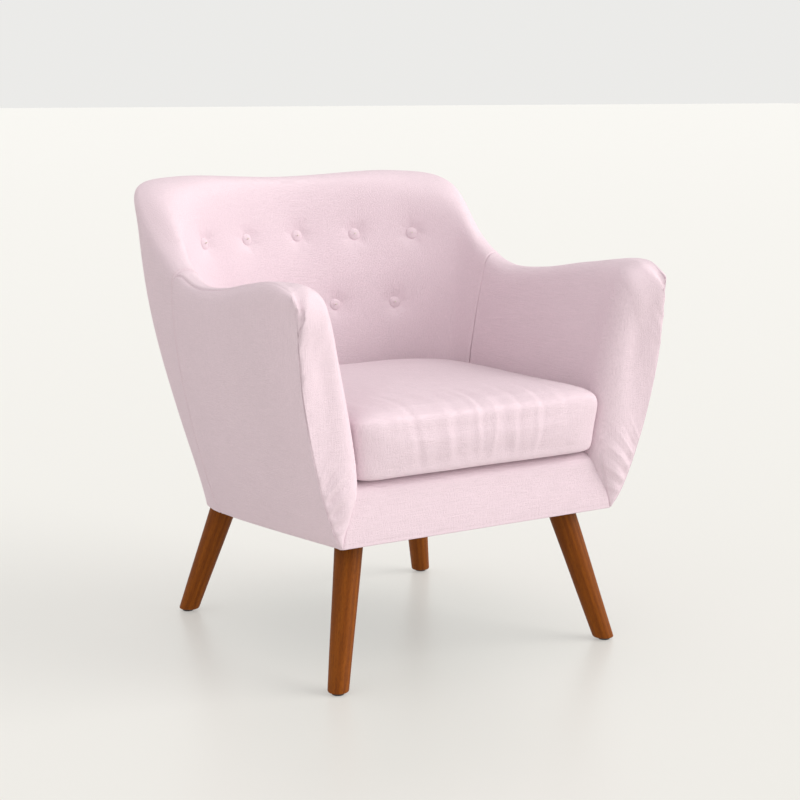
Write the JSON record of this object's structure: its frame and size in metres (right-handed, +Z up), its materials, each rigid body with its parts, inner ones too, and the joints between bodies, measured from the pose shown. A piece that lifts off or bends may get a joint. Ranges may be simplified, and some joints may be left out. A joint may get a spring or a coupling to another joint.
{
  "type": "armchair",
  "caption": "Upholstered tub armchair for one sitter, with a button-tufted wrap-around back, scooped arms, a loose seat cushion and splayed turned wooden legs.",
  "frame": {"origin": "on the floor under the middle of the chair's bounding box", "axes": "+Z up, +X to the right of someone looking at the chair from the front, front of the seat towards -Y"},
  "size_m": [0.762, 0.7117, 0.787],
  "materials": {
    "upholstery_fabric": "woven, matt",
    "stained_wood": "satin stained",
    "glide_plastic": "moulded",
    "zinc_steel": "zinc plated",
    "webbing": "elastic webbing",
    "dust_cover_cloth": "spunbonded",
    "deck_cloth": "plain woven",
    "foam": "polyurethane foam",
    "twine_and_tape": "plain",
    "frame_timber": "bare softwood and plywood"
  },
  "bodies": {
    "chair": {"front_rail": "frame_timber", "rear_rail": "frame_timber", "side_rail_left": "frame_timber", "side_rail_right": "frame_timber", "corner_block_front_left": "frame_timber", "corner_block_front_right": "frame_timber", "corner_block_rear_left": "frame_timber", "corner_block_rear_right": "frame_timber", "arm_post_left": "frame_timber", "arm_post_right": "frame_timber", "arm_rail_left": "frame_timber", "arm_rail_right": "frame_timber", "back_post_left": "frame_timber", "back_post_right": "frame_timber", "back_lower_rail": "frame_timber", "back_top_rail": "frame_timber", "seat_webbing": "webbing", "cross_webbing": "webbing", "back_webbing": "webbing", "seat_pad": "foam", "arm_foam_left": "foam", "arm_foam_right": "foam", "back_foam": "foam", "arm_front_pad_left": "foam", "arm_front_pad_right": "foam", "outer_pad_left": "foam", "outer_pad_right": "foam", "outside_back_pad": "foam", "front_rail_pad": "foam", "inside_back_cover": "upholstery_fabric", "outside_back_panel": "upholstery_fabric", "inside_arm_cover_left": "upholstery_fabric", "inside_arm_cover_right": "upholstery_fabric", "outside_arm_panel_left": "upholstery_fabric", "outside_arm_panel_right": "upholstery_fabric", "front_rail_cover": "upholstery_fabric", "deck_cloth": "deck_cloth", "dust_cover": "dust_cover_cloth", "back_buttons": "upholstery_fabric", "button_twines": "twine_and_tape", "twine_anchors": "twine_and_tape", "leg_front_left": "stained_wood", "leg_front_right": "stained_wood", "leg_rear_left": "stained_wood", "leg_rear_right": "stained_wood", "glide_front_left": "glide_plastic", "glide_front_right": "glide_plastic", "glide_rear_left": "glide_plastic", "glide_rear_right": "glide_plastic", "hanger_bolts": "zinc_steel", "bolt_nuts": "zinc_steel"},
    "cushion": {"cushion_top_cover": "upholstery_fabric", "cushion_bottom_cover": "upholstery_fabric", "cushion_core": "foam", "zip_tape": "twine_and_tape"},
    "zip_slider": {"zip_slider": "zinc_steel"}
  },
  "joints": [
    {"name": "cushion_lift", "type": "slide", "parent": "chair", "child": "cushion", "axis": [0, 0, 1], "range_m": [0, 0.5]},
    {"name": "zip_slide", "type": "slide", "parent": "cushion", "child": "zip_slider", "axis": [1, 0, 0], "range_m": [0, 0.19]}
  ]
}
